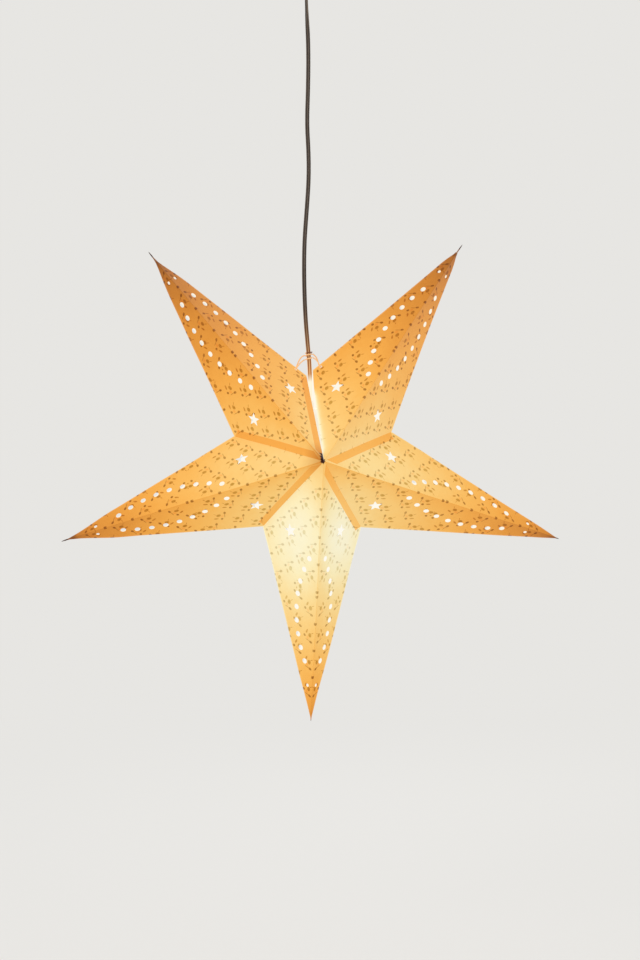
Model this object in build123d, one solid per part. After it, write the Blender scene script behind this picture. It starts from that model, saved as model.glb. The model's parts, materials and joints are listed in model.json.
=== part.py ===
from build123d import *
from math import asin, atan2, cos, degrees, hypot, radians, sin, sqrt, tan
import os

# Sizes are in millimetres and angles in degrees. Z is up, the origin is on the ceiling, the star faces -Y.

# paper star: ten front and ten back facets that meet at a front apex and a back apex
star_drop = 620.0  # ceiling to the centre of the star
tip_radius = 317.0  # centre to the sharp end of a point
valley_radius = 102.0  # centre to the corner between two points
half_depth = 90.0  # centre to each apex
seam_gap = 4.0  # angle left open between the first and the last facet
paper = 0.4
fold_gap = 0.3  # free space along every fold
ridge_travel = 19.0  # how much a ridge closes when the star is opened
apex_hole = 4.0
tip_cut = 4.0  # paper missing at the sharp end
valley_cut = 1.5  # paper missing at the corner between two points

# cut-outs of one facet, measured from its apex along the ridge and square to it
hole_count = 9
hole_radius = 3.3
hole_pitch = 17.0
hole_arc_radius = 140.0
hole_arc_middle = 190.0
hole_arc_crown = 30.0
small_hole_radius = 2.0
small_hole_along = 285.0
small_hole_out = 7.7
cut_star_points = 5
cut_star_radius = 8.0
cut_star_inner = 3.5
cut_star_along = 97.5
cut_star_out = 44.0

# tabs along the valleys
tab_width = 9.2
tab_apex_end = 6.0  # from the apex to where the tab begins
tab_valley_end = 2.0  # from the valley corner to where it ends
tab_apex_slant = 8.5
tab_valley_slant = 5.0

# string that is wound round the flex and tied through an eyelet on each side of the seam
string_radius = 0.7
string_slack = 0.3
front_eyelet = 1.6
back_eyelet = 2.3
first_eyelet_along = 10.5  # from the valley corner along the outer edge, on the first facet
last_eyelet_along = 15.5  # the same on the last facet
eyelet_in = 3.4  # from the outer edge
winding_height = 120.3  # start of the winding above the centre of the star
winding_turns = 1.5
winding_pitch = 4.9
tie_gap = 0.6  # between its ends and the winding
tie_reach = 2.6  # how far the string stands off the paper before its eyelet
tie_shoulder = 10.5  # how far out the upper strand runs before it drops to the paper
tie_shoulder_drop = 0.8
tie_shoulder_back = 2.5

# flat twin flex
core_radius = 1.3
core_spacing = 2.6
web_thickness = 1.2
flex_slack = 0.3  # between the flex and what it passes through

# ceiling rose
rose_radius = 50.0
rose_height = 38.0
rose_wall = 1.2
rose_edge = 5.0
strap_width = 20.0
strap_thickness = 1.5
strap_margin = 2.0  # between the strap's ears and the cup
ear_length = 14.0
slot_spacing = 60.0
slot_width = 4.5
slot_length = 12.0
rose_screw_radius = 1.95
rose_screw_head = 3.6
rose_screw_head_height = 2.2
rose_screw_drop = 9.0
screw_slack = 0.1
ball_radius = 7.0
ball_slack = 0.3
ball_bore_flare = 1.1
seat_radius = 11.0
seat_below = 6.0  # from the middle of the ball down to the mouth of the seat
seat_above = 2.0
seat_flange = 2.0
seat_flange_height = 1.6
clamp_radius = 6.0
clamp_height = 9.0
clamp_screw_radius = 1.5
clamp_screw_head = 2.4
clamp_screw_head_height = 1.6
block_length = 16.0
block_width = 14.0
block_height = 9.0
block_offset = 9.0  # from the middle of the strap to the block
block_funnel = 1.9
block_screw_in = 4.0  # from the end of the block to its screws
block_screw_radius = 1.2
block_screw_head = 2.2
block_screw_head_height = 1.4
tail_radius = 0.9
tail_gap = 0.05  # between the end of the flex and its bared cores
tail_rise = 3.5
tail_spacing = 6.0
tail_spare = 1.5  # how far a core runs past its screw

# lampholder for an E27 bulb
holder_top = 62.0  # top of the holder's cap above the centre of the star
holder_wall = 1.8
grip_radius = 5.0
grip_height = 8.0
grip_taper = 1.2
grip_taper_height = 2.4
grip_stem_radius = 3.9
cap_height = 20.0
cap_radius = 20.0
cap_shoulder = 10.0  # height of the sloped top
cap_bevel = 3.0
cap_slope_drop = 2.0
cap_rim = 1.0  # flat round the grip
shell_height = 40.0
shell_lip = 0.6
shell_lip_height = 4.0
spigot_height = 6.0
thread_slack = 0.2
ledge_depth = 10.0
ledge_width = 2.4
insert_height = 9.0
insert_slack = 0.2
socket_thread_radius = 13.6
socket_wall = 0.5
socket_height = 20.0
socket_lip = 4.0
contact_width = 6.0
contact_thickness = 0.6
contact_drop = 2.4
contact_margin = 1.0
holder_screw_radius = 1.4
holder_screw_head = 2.6
holder_screw_head_height = 1.8
holder_screw_offset = 10.5
holder_screw_length = 5.0
holder_tail_drop = 5.7
holder_tail_lead = 2.2

# bulb
bulb_radius = 30.0
bulb_length = 107.0
bulb_cap_radius = 13.2
bulb_cap_height = 22.0
bulb_cap_wall = 0.4
bulb_cap_shoulder = 3.0
bulb_cap_hole = 10.2
bulb_cap_top = 11.0
bulb_tip_radius = 4.8
bulb_tip_height = 1.2
bulb_insulator_radius = 10.7
bulb_insulator_height = 3.6
bulb_neck_radius = 12.6
bulb_neck_in_cap = 11.0
bulb_neck_below = 4.0
glass_wall = 0.8
bulb_gap = 0.1
bulb_shoulder = 31.0  # from the cap down to the widest ring
stem_radius = 4.0
stem_length = 46.0
stem_in_cap = 4.0
stem_slack = 0.1
stem_plate = 1.5
stem_flare = 8.0
filament_radius = 1.0
filament_length = 34.0
filament_circle = 9.0
filament_count = 4
filament_tilt = 9.0
filament_overlap = 6.0  # beside the end of the stem

# the flex from the clamp in the rose to the lampholder, as x and the height above the centre of the star
flex_route = [
    (-0.4, 542.0),
    (-0.7, 498.0),
    (-1.9, 450.0),
    (-3.0, 405.0),
    (-1.5, 371.0),
    (-0.5, 338.0),
    (-2.8, 300.0),
    (-5.6, 262.0),
    (-6.0, 217.0),
    (-4.0, 172.0),
    (-0.9, 139.0),
    (0.3, 113.0),
    (0.05, 87.0),
]

star_centre = Vector(0, 0, -star_drop)
facet_angle = (360 - seam_gap) / 10
ball_height = -rose_height + seat_below
clamp_foot = sqrt((ball_radius + ball_slack) ** 2 - clamp_radius**2)
clamp_top = ball_height + clamp_foot + clamp_height
flex_half_width = core_spacing / 2 + core_radius
flex_bore = flex_half_width + flex_slack
winding_radius = flex_half_width + string_slack + string_radius


def save(name, *solids):
    shape = solids[0] if len(solids) == 1 else Compound(children=list(solids))
    shape.label = name
    export_step(shape, f"parts/{name}.step")


def largest(shape):
    return shape.solids().sort_by(SortBy.VOLUME)[-1]


def ring(profile):
    """A solid of revolution about Z from a profile of (radius, height) corners."""
    face = Plane.XZ * make_face(Polyline(*profile, close=True))
    return revolve(face, Axis.Z).solid()


def at(height, shape):
    return Pos(0, 0, height) * shape


def rod(radius, start, end):
    """A cylinder between two points."""
    line = Vector(*end) - Vector(*start)
    return extrude(Plane(origin=start, z_dir=line) * Circle(radius), line.length).solid()


def screw(shank_radius, head_radius, head_height, tip, seat):
    """A screw from its tip to the seat of its head, which lies beyond the seat."""
    line = (Vector(*seat) - Vector(*tip)).normalized()
    end = Vector(*seat) + line * head_height
    return (rod(shank_radius, tip, seat) + rod(head_radius, seat, end)).solid()


# star geometry


def rim_point(step):
    """Corner of the star's outline, clockwise from the seam: even steps are valleys, odd ones tips."""
    angle = radians(90 - seam_gap / 2 - step * facet_angle)
    radius = tip_radius if step % 2 else valley_radius
    return star_centre + Vector(radius * cos(angle), 0, radius * sin(angle))


def apex(front):
    return star_centre + Vector(0, -half_depth if front else half_depth, 0)


def facet_corners(number):
    """The tip and the valley corner of a facet, numbered clockwise from the seam."""
    before, after = rim_point(number - 1), rim_point(number)
    return (after, before) if number % 2 else (before, after)


def facet_plane(number, front):
    """The plane of a facet's outer face, with X along its ridge, and the sign of Y towards its valley."""
    tip, valley = facet_corners(number)
    along = (tip - apex(front)).normalized()
    out = along.cross(valley - apex(front)).normalized()
    side = 1 if out.dot(apex(front) - star_centre) > 0 else -1
    return Plane(origin=apex(front), x_dir=along, z_dir=out * side), side


ridge_length = hypot(tip_radius, half_depth)
valley_length = hypot(valley_radius, half_depth)
edge_length = (rim_point(1) - rim_point(0)).length
valley_along = (ridge_length**2 + valley_length**2 - edge_length**2) / (2 * ridge_length)
valley_out = sqrt(valley_length**2 - valley_along**2)


def angle_across(start, end, one, other):
    """The angle between two facets that share the fold from start to end."""
    fold = (end - start).normalized()
    sides = [p - start - fold * (p - start).dot(fold) for p in (one, other)]
    return sides[0].get_angle(sides[1])


ridge_angle = angle_across(apex(True), rim_point(1), rim_point(0), rim_point(2))
outer_angle = angle_across(rim_point(0), rim_point(1), apex(True), apex(False))


def trimmed(sheet, start, end, half_angle):
    """Cuts a sheet under the XY plane to a mitre along a line that has the sheet on its left."""
    line = Vector(*end) - Vector(*start)
    inward = Vector(-line.Y, line.X, 0).normalized()
    normal = inward * sin(radians(half_angle)) + Vector(0, 0, cos(radians(half_angle)))
    offset_in = fold_gap / 2 / sin(radians(half_angle))
    cut = Plane(origin=Vector(*start) + inward * offset_in, z_dir=normal)
    return split(sheet, bisect_by=cut, keep=Keep.TOP)


def cut_outs():
    """The round holes and the star hole of one facet."""
    step = degrees(2 * asin(hole_pitch / 2 / hole_arc_radius))
    holes = Sketch()
    for n in range(hole_count):
        turn = radians((n - (hole_count - 1) / 2) * step)
        along = hole_arc_middle + hole_arc_radius * sin(turn)
        out = hole_arc_crown - hole_arc_radius * (1 - cos(turn))
        holes += Pos(along, out) * Circle(hole_radius)
    holes += Pos(small_hole_along, small_hole_out) * Circle(small_hole_radius)
    # one point of the star hole looks along the middle of the facet
    first = degrees(atan2(valley_out, valley_along)) / 2
    corners = []
    for n in range(2 * cut_star_points):
        turn = radians(180 * n / cut_star_points + first)
        reach = cut_star_inner if n % 2 else cut_star_radius
        corners.append((reach * cos(turn), reach * sin(turn)))
    return holes + Pos(cut_star_along, cut_star_out) * make_face(Polyline(*corners, close=True))


def eyelet_place(along):
    """Where the string goes through a facet beside the seam."""
    edge = Vector(ridge_length - valley_along, -valley_out, 0).normalized()
    inward = Vector(edge.Y, -edge.X, 0)
    return Vector(valley_along, valley_out, 0) + edge * along + inward * eyelet_in


def blank(holes):
    """One facet as a flat sheet under the XY plane, with its apex at the origin and its ridge on X."""
    tip, valley = (ridge_length, 0), (valley_along, valley_out)
    outline = make_face(Polyline((0, 0), tip, valley, close=True)) - Circle(apex_hole)
    outline -= Pos(ridge_length, 0) * Rectangle(2 * tip_cut, 2 * tip_cut)
    outline -= Pos(*valley) * Circle(valley_cut)
    outline -= holes
    sheet = extrude(outline, -paper).solid()
    sheet = trimmed(sheet, (0, 0), tip, (ridge_angle - ridge_travel) / 2)
    sheet = trimmed(sheet, tip, valley, outer_angle / 2)
    return trimmed(sheet, valley, (0, 0), 90).solid()


def tab_blank(foot):
    """A strip beside the valley line of a flat sheet, slanted at both ends, with its foot at a height."""
    edge = Vector(valley_along, valley_out, 0).normalized()
    inward = Vector(edge.Y, -edge.X, 0)
    corners = [
        edge * tab_apex_end + inward * fold_gap / 2,
        edge * (tab_apex_end + tab_apex_slant) + inward * tab_width,
        edge * (valley_length - tab_valley_end - tab_valley_slant) + inward * tab_width,
        edge * (valley_length - tab_valley_end) + inward * fold_gap / 2,
    ]
    outline = make_face(Polyline(*[(c.X, c.Y) for c in corners], close=True))
    return extrude(Pos(0, 0, foot) * outline, paper).solid()


def placed(flat, number, front):
    """Moves a flat piece from the XY plane to its facet."""
    plane, side = facet_plane(number, front)
    piece = flat if side > 0 else mirror(flat, about=Plane.XZ)
    return plane.location * piece


# paper


def make_paper():
    holes = cut_outs()
    plain = blank(holes)
    first, last = eyelet_place(first_eyelet_along), eyelet_place(last_eyelet_along)
    glued, free = tab_blank(0), tab_blank(-paper)
    for face, front, eyelet in (("front", True, front_eyelet), ("back", False, back_eyelet)):
        start = blank(holes + Pos(first.X, first.Y) * Circle(eyelet))
        end = blank(holes + Pos(last.X, last.Y) * Circle(eyelet))
        # the printed sheet of the last facet stops where the free tab begins
        blanks = {1: start, 10: largest(end - free)}
        for number in range(1, 11):
            save(f"{face}_facet_{number}", placed(blanks.get(number, plain), number, front))
        for tab, number in enumerate((3, 5, 7, 9, 10), 1):
            strip = free if number == 10 else glued
            save(f"{face}_tab_{tab}", placed(strip, number, front))


# cords


def tube(radius, points, bends):
    """A round tube along straight runs joined by arcs of the radii given."""
    path = FilletPolyline(*points, radius=bends)
    start = Plane(origin=path @ 0, z_dir=path % 0)
    return sweep(start * Circle(radius), path).solid()


def largest_bends(points, share=0.45):
    """The largest arc at each inner point that leaves the rest of both its runs straight."""
    spots = [Vector(*p) for p in points]
    bends = []
    for before, here, after in zip(spots, spots[1:], spots[2:]):
        half_turn = radians((here - before).get_angle(after - here) / 2)
        run = min((here - before).length, (after - here).length)
        bends.append(share * run / tan(half_turn))
    return bends


def flex_section():
    core = Circle(core_radius)
    cores = Pos(core_spacing / 2, 0) * core + Pos(-core_spacing / 2, 0) * core
    return cores + Rectangle(core_spacing, web_thickness)


def flex_points():
    top = [(0, 0, clamp_top), (0, 0, ball_height - seat_below - rose_wall)]
    middle = [(x, 0, height - star_drop) for x, height in flex_route]
    return top + middle + [(0, 0, holder_top - star_drop - holder_wall)]


def flex_place(height):
    """The middle of the flex at a height above the centre of the star."""
    z = height - star_drop
    points = flex_points()
    for above, below in zip(points, points[1:]):
        if above[2] >= z >= below[2]:
            share = (above[2] - z) / (above[2] - below[2])
            return Vector(above[0] + share * (below[0] - above[0]), 0, z)


def make_flex():
    points = flex_points()
    bends = largest_bends(points)
    path = FilletPolyline(*points, radius=bends)
    start = Plane(origin=points[0], x_dir=(1, 0, 0), z_dir=(0, 0, -1))
    flex = sweep(start * flex_section(), path).solid()
    print("flex bends", [round(b) for b in bends])
    straightened = flex.volume / flex_section().area
    print("flex length", round(path.length, 1), "volume over section", round(straightened, 1))
    save("flex", flex)


# string


def winding_point(turn):
    """A point of the winding and its direction, after so many turns from the left side of the flex."""
    angle = radians(180 + 360 * turn)
    rise = winding_pitch / radians(360)
    middle = flex_place(winding_height + winding_pitch * winding_turns / 2)
    spot = Vector(middle.X + winding_radius * cos(angle), winding_radius * sin(angle), 0)
    spot += Vector(0, 0, winding_height + winding_pitch * turn - star_drop)
    heading = Vector(-winding_radius * sin(angle), winding_radius * cos(angle), rise)
    return spot, heading.normalized()


def make_winding():
    """The string round the flex, each quarter turn as two arcs that meet in one direction."""
    stations = [winding_point(n / 4) for n in range(round(4 * winding_turns) + 1)]
    arcs = []
    for (start, out), (end, into) in zip(stations, stations[1:]):
        chord, both = end - start, out + into
        square, linear = both.dot(both) - 4, chord.dot(both)
        reach = (linear - sqrt(linear**2 - square * chord.dot(chord))) / square
        first, second = start + out * reach, end - into * reach
        meeting = (first + second) * 0.5
        arcs.append(TangentArc(start, meeting, tangent=out))
        arcs.append(TangentArc(meeting, end, tangent=(second - first).normalized()))
    path = Wire([arc.edge() for arc in arcs])
    section = Plane(origin=stations[0][0], z_dir=stations[0][1]) * Circle(string_radius)
    save("tie_winding", sweep(section, path).solid())
    steps = [n / 48 for n in range(round(48 * winding_turns) + 1)]
    spots = [(t, winding_point(t)[0]) for t in steps]
    gaps = [(a - b).length for s, a in spots for t, b in spots if t - s > 0.5]
    print("winding: least gap to itself", round(min(gaps) - 2 * string_radius, 2))


def make_ties():
    """The loop of string on each side of the seam, from the winding through both eyelets and back."""
    ties = (("left", -1, 10, last_eyelet_along, 0), ("right", 1, 1, first_eyelet_along, 0.5))
    for name, side, number, along, turn in ties:
        plane, sign = facet_plane(number, True)
        spot = eyelet_place(along)
        hole = plane.from_local_coords(Vector(spot.X, spot.Y * sign, 0))
        outside = hole + plane.z_dir * tie_reach
        inside = hole - plane.z_dir * (hole.Y / plane.z_dir.Y)
        behind = Vector(outside.X, -outside.Y, outside.Z)
        clear = Vector(side * (string_radius + tie_gap), 0, 0)
        low = winding_point(turn)[0] + clear
        high = winding_point(turn + 1)[0] + clear
        shoulder = Vector(side * tie_shoulder, tie_shoulder_back, high.Z - tie_shoulder_drop)
        route = [low, outside, inside, behind, shoulder, high]
        bends = largest_bends(route)
        print(f"tie {name} bends", [round(b, 1) for b in bends])
        save(f"tie_{name}", tube(string_radius, route, bends))


# ceiling rose


def make_cup_and_strap():
    inner = rose_radius - rose_wall
    seat_hole = seat_radius + screw_slack
    cup = ring(
        [
            (seat_hole, -rose_height),
            (rose_radius - rose_edge, -rose_height),
            (rose_radius, -rose_height + rose_edge),
            (rose_radius, 0),
            (inner, 0),
            (inner, -rose_height + rose_edge),
            (inner - rose_edge + rose_wall, -rose_height + rose_wall),
            (seat_hole, -rose_height + rose_wall),
        ]
    )
    ear_reach = inner - strap_margin
    strap = Pos(0, 0, -strap_thickness / 2) * Box(2 * ear_reach, strap_width, strap_thickness)
    screws = []
    for side in (1, -1):
        middle = (side * ear_reach / 2, 0, -rose_screw_drop)
        tip = (side * (ear_reach - 2 * strap_thickness), 0, -rose_screw_drop)
        seat = (side * rose_radius, 0, -rose_screw_drop)
        cup -= rod(rose_screw_radius + 2 * screw_slack, middle, seat)
        ear = Box(strap_thickness, strap_width, ear_length)
        strap += Pos(side * (ear_reach - strap_thickness / 2), 0, -ear_length / 2) * ear
        strap -= rod(rose_screw_radius + screw_slack, middle, seat)
        slot = SlotOverall(slot_length, slot_width)
        strap -= extrude(Pos(side * slot_spacing / 2, 0, 0) * slot, -strap_thickness)
        screws.append(screw(rose_screw_radius, rose_screw_head, rose_screw_head_height, tip, seat))
    save("rose_cup", cup.solid())
    save("rose_strap", strap.solid())
    save("rose_screws", *screws)


def make_swivel():
    floor = -rose_height + rose_wall
    seat = ring(
        [
            (0, ball_height - seat_below),
            (seat_radius, ball_height - seat_below),
            (seat_radius, floor),
            (seat_radius + seat_flange, floor),
            (seat_radius + seat_flange, floor + seat_flange_height),
            (seat_radius, floor + seat_flange_height),
            (seat_radius, ball_height + seat_above),
            (0, ball_height + seat_above),
        ]
    )
    hollow = at(ball_height, Sphere(ball_radius + ball_slack))
    wide = flex_bore + ball_bore_flare
    seat -= hollow
    seat -= at(ball_height - seat_below, Cylinder(wide, 2 * seat_below))
    save("rose_seat", largest(seat))

    end = ball_radius
    waist = ring([(0, -end), (wide, -end), (flex_bore, 0), (wide, end), (0, end)])
    ball = at(ball_height, Sphere(ball_radius) - waist)
    save("swivel_ball", ball.solid())

    clamp = at((clamp_top + ball_height) / 2, Cylinder(clamp_radius, clamp_top - ball_height))
    clamp -= hollow
    bore = at(ball_height, offset(flex_section(), flex_slack, kind=Kind.ARC))
    clamp -= extrude(bore, clamp_top - ball_height)
    screw_height = clamp_top - clamp_height / 2
    tip, side = (0, -core_radius, screw_height), (0, -clamp_radius, screw_height)
    clamp -= rod(clamp_screw_radius + screw_slack, (0, 0, screw_height), side)
    save("flex_clamp", largest(clamp))
    save("clamp_screw", screw(clamp_screw_radius, clamp_screw_head, clamp_screw_head_height, tip, side))


def make_terminals():
    """The terminal block under the strap and the two cores of the flex that run into it."""
    middle = -strap_thickness - block_height / 2
    foot = -strap_thickness - block_height
    block = Pos(block_offset + block_length / 2, 0, middle) * Box(block_length, block_width, block_height)
    screws, tails = [], []
    for side in (1, -1):
        y = side * tail_spacing / 2
        x = block_offset + block_screw_in
        block -= rod(block_funnel, (block_offset, y, middle), (block_offset + block_length / 2, y, middle))
        block -= rod(block_screw_radius + screw_slack, (x, y, foot), (x, y, middle))
        top = (x, y, middle - tail_radius)
        screws.append(screw(block_screw_radius, block_screw_head, block_screw_head_height, top, (x, y, foot)))
        points = [
            (side * core_spacing / 2, 0, clamp_top + tail_gap),
            (side * core_spacing / 2, 0, clamp_top + tail_rise),
            (side * core_spacing / 2, y, middle),
            (x + tail_spare, y, middle),
        ]
        tails.append(tube(tail_radius, points, largest_bends(points)))
    save("terminal_block", block.solid())
    save("block_screws", *screws)
    save("core_tails", *tails)


# lampholder


def make_holder_body():
    """The grip, cap, shell and insert; returns the height of the ledge that carries the insert."""
    top = holder_top - star_drop
    foot = top - cap_height
    under = top - holder_wall
    grip = ring(
        [
            (flex_bore, under),
            (grip_stem_radius, under),
            (grip_stem_radius, top),
            (grip_radius, top),
            (grip_radius, top + grip_height - grip_taper_height),
            (grip_radius - grip_taper, top + grip_height),
            (flex_bore, top + grip_height),
        ]
    )
    save("holder_grip", grip)
    stem = grip_stem_radius + screw_slack
    inner = cap_radius - holder_wall
    slope_foot = top - cap_shoulder
    cap = ring(
        [
            (stem, top),
            (grip_radius + cap_rim, top),
            (cap_radius - cap_bevel, slope_foot + cap_slope_drop),
            (cap_radius, slope_foot - cap_bevel),
            (cap_radius, foot),
            (inner, foot),
            (inner, slope_foot - cap_bevel),
            (inner - cap_bevel, slope_foot),
            (grip_radius + cap_rim, under),
            (stem, under),
        ]
    )
    save("holder_cap", cap)
    spigot = inner - thread_slack
    bore = spigot - holder_wall
    ledge = foot + spigot_height - ledge_depth
    shell_foot = foot - shell_height
    shell = ring(
        [
            (spigot, foot + spigot_height),
            (bore, foot + spigot_height),
            (bore, ledge),
            (bore - ledge_width / 2, ledge),
            (bore - ledge_width / 2, ledge - ledge_width),
            (bore, ledge - ledge_width),
            (bore, shell_foot),
            (cap_radius - shell_lip, shell_foot),
            (cap_radius, shell_foot + shell_lip_height),
            (cap_radius, foot),
            (spigot, foot),
        ]
    )
    save("holder_shell", shell)
    seat = ledge + insert_height
    insert = at(ledge + insert_height / 2, Cylinder(bore - insert_slack, insert_height))
    screws, tails = [], []
    for side in (1, -1):
        x = side * holder_screw_offset
        tip = (x, 0, seat - holder_screw_length)
        insert -= rod(holder_screw_radius + screw_slack, tip, (x, 0, seat))
        head = (holder_screw_head, holder_screw_head_height)
        screws.append(screw(holder_screw_radius, *head, tip, (x, 0, seat)))
        lying = seat + tail_radius + screw_slack
        points = [
            (side * core_spacing / 2, 0, under - tail_gap),
            (side * core_spacing / 2, 0, under - holder_tail_drop),
            (side * (core_spacing / 2 + holder_tail_lead), 0, lying),
            (side * (holder_screw_offset - holder_screw_head), 0, lying),
        ]
        tails.append(tube(tail_radius, points, largest_bends(points)))
    save("holder_insert", insert.solid())
    save("holder_screws", *screws)
    save("holder_tails", *tails)
    return ledge


def make_contacts(ledge):
    """The threaded shell and the centre contact under the insert; returns the height of its face."""
    hole = socket_thread_radius - socket_lip
    socket = ring(
        [
            (hole, ledge),
            (socket_thread_radius + socket_wall, ledge),
            (socket_thread_radius + socket_wall, ledge - socket_height),
            (socket_thread_radius, ledge - socket_height),
            (socket_thread_radius, ledge - socket_wall),
            (hole, ledge - socket_wall),
        ]
    )
    save("socket_shell", socket)
    reach = hole - contact_margin
    face = ledge - contact_drop - contact_thickness
    pad = Pos(-reach / 2, 0, ledge - contact_thickness / 2) * Box(reach, contact_width, contact_thickness)
    bend = Pos(0, 0, ledge - contact_drop / 2) * Box(contact_thickness, contact_width, contact_drop)
    leaf = Box(contact_width + contact_thickness, contact_width, contact_thickness)
    tongue = Pos(contact_width / 2, 0, face + contact_thickness / 2) * leaf
    save("centre_contact", (pad + bend + tongue).solid())
    return face


# bulb


def bulb_envelope(inset, cap_foot, bottom):
    """The glass of the bulb as a full solid, drawn in by an inset."""
    neck = bulb_neck_radius - inset
    belly = bulb_radius - inset
    neck_top = cap_foot + bulb_neck_in_cap
    neck_foot = (neck, cap_foot - bulb_neck_below)
    widest = (belly, cap_foot - bulb_shoulder)
    end = (0, bottom + inset)
    outline = [
        Line((0, neck_top), (neck, neck_top)),
        Line((neck, neck_top), neck_foot),
        Spline(neck_foot, widest, tangents=[(0, -1), (0, -1)], tangent_scalars=[1.1, 1.1]),
        Spline(widest, end, tangents=[(0, -1), (-1, 0)], tangent_scalars=[1.0, 1.0]),
        Line(end, (0, neck_top)),
    ]
    return revolve(Plane.XZ * make_face(Curve() + outline), Axis.Z).solid()


def make_bulb(contact_height):
    tip = contact_height - bulb_gap
    insulator_top = tip - bulb_tip_height
    cap_top = insulator_top - bulb_insulator_height
    cap_foot = cap_top - bulb_cap_height
    bottom = tip - bulb_length
    save("bulb_tip", rod(bulb_tip_radius, (0, 0, insulator_top), (0, 0, tip)))
    insulator = ring(
        [
            (0, insulator_top),
            (bulb_tip_radius, insulator_top),
            (bulb_insulator_radius, cap_top),
            (0, cap_top),
        ]
    )
    save("bulb_insulator", insulator)
    cap = ring(
        [
            (bulb_cap_hole, cap_top),
            (bulb_cap_top, cap_top),
            (bulb_cap_radius, cap_top - bulb_cap_shoulder),
            (bulb_cap_radius, cap_foot),
            (bulb_cap_radius - bulb_cap_wall, cap_foot),
            (bulb_cap_radius - bulb_cap_wall, cap_top - bulb_cap_shoulder - bulb_cap_wall),
            (bulb_cap_hole, cap_top - bulb_cap_wall),
        ]
    )
    save("bulb_cap", cap)
    glass = bulb_envelope(0, cap_foot, bottom) - bulb_envelope(glass_wall, cap_foot, bottom)
    save("bulb_glass", largest(glass))
    stem_top = cap_foot + stem_in_cap
    stem_foot = stem_top - stem_length
    plate = bulb_neck_radius - glass_wall - stem_slack
    stem = ring(
        [
            (0, stem_top),
            (plate, stem_top),
            (plate, stem_top - stem_plate),
            (stem_radius, stem_top - stem_flare),
            (stem_radius / 2, stem_foot),
            (0, stem_foot),
        ]
    )
    save("bulb_stem", stem)
    filaments = []
    for n in range(filament_count):
        turn = radians(360 * (n + 0.5) / filament_count)
        narrow = filament_circle - filament_length * tan(radians(filament_tilt))
        top = stem_foot + filament_overlap
        start = (narrow * cos(turn), narrow * sin(turn), top)
        end = (filament_circle * cos(turn), filament_circle * sin(turn), top - filament_length)
        filaments.append(rod(filament_radius, start, end))
    save("bulb_filaments", *filaments)


os.makedirs("parts", exist_ok=True)
make_paper()
make_winding()
make_ties()
make_flex()
make_cup_and_strap()
make_swivel()
make_terminals()
make_bulb(make_contacts(make_holder_body()))
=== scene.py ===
import json
import math

import bmesh
import bpy
from mathutils import Matrix, Vector, noise


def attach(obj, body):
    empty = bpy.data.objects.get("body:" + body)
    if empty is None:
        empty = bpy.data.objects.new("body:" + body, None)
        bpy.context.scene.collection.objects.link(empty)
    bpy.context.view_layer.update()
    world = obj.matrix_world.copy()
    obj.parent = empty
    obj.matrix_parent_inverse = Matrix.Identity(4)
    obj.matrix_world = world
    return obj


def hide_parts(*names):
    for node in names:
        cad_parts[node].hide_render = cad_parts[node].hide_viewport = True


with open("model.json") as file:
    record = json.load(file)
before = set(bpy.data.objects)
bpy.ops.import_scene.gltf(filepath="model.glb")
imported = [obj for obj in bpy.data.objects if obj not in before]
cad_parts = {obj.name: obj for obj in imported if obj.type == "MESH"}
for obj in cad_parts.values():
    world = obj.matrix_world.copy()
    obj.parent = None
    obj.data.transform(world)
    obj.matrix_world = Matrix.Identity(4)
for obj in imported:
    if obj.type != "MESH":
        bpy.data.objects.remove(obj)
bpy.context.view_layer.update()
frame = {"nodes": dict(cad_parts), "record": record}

# metres and degrees; Z up, the star faces -Y, the origin is on the ceiling
scene = bpy.context.scene
mm = 0.001
noise.seed_set(7)  # so that the paper buckles in the same way each run

# Small helpers


def link(name, data):
    piece = bpy.data.objects.new(name, data)
    scene.collection.objects.link(piece)
    return piece


def evaluatedMesh(holder):
    # what an object's modifiers or curve make, as a plain mesh; the object goes
    graph = bpy.context.evaluated_depsgraph_get()
    mesh = bpy.data.meshes.new_from_object(holder.evaluated_get(graph))
    bpy.data.objects.remove(holder)
    return mesh


def feed(tree, item, inputs):
    # gives a node its inputs, each a value or another node's output
    for key, value in dict(inputs).items():
        if isinstance(value, bpy.types.NodeSocket):
            tree.links.new(value, item.inputs[key])
        else:
            item.inputs[key].default_value = value
    return item


def addNode(tree, kind, inputs=(), **settings):
    item = tree.nodes.new(kind)
    for key, value in settings.items():
        setattr(item, key, value)
    return feed(tree, item, inputs)


def calc(tree, operation, *values, clamp=False):
    return addNode(tree, "ShaderNodeMath", enumerate(values), operation=operation, use_clamp=clamp).outputs[0]


def plus(tree, *values, clamp=False):
    return calc(tree, "ADD", *values, clamp=clamp)


def minus(tree, *values, clamp=False):
    return calc(tree, "SUBTRACT", *values, clamp=clamp)


def times(tree, *values, clamp=False):
    return calc(tree, "MULTIPLY", *values, clamp=clamp)


def over(tree, *values, clamp=False):
    return calc(tree, "DIVIDE", *values, clamp=clamp)


def timesPlus(tree, *values, clamp=False):
    return calc(tree, "MULTIPLY_ADD", *values, clamp=clamp)


def split(tree, vector):
    return addNode(tree, "ShaderNodeSeparateXYZ", {0: vector}).outputs


def combine(tree, x=0.0, y=0.0, z=0.0):
    return addNode(tree, "ShaderNodeCombineXYZ", {0: x, 1: y, 2: z}).outputs[0]


def vectorCalc(tree, operation, *values):
    return addNode(tree, "ShaderNodeVectorMath", enumerate(values), operation=operation).outputs[0]


def scaled(tree, vector, factor):
    return addNode(tree, "ShaderNodeVectorMath", {0: vector, "Scale": factor}, operation="SCALE").outputs[0]


def blendVectors(tree, start, end, share):
    return vectorCalc(tree, "ADD", start, scaled(tree, vectorCalc(tree, "SUBTRACT", end, start), share))


# Camera

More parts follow.
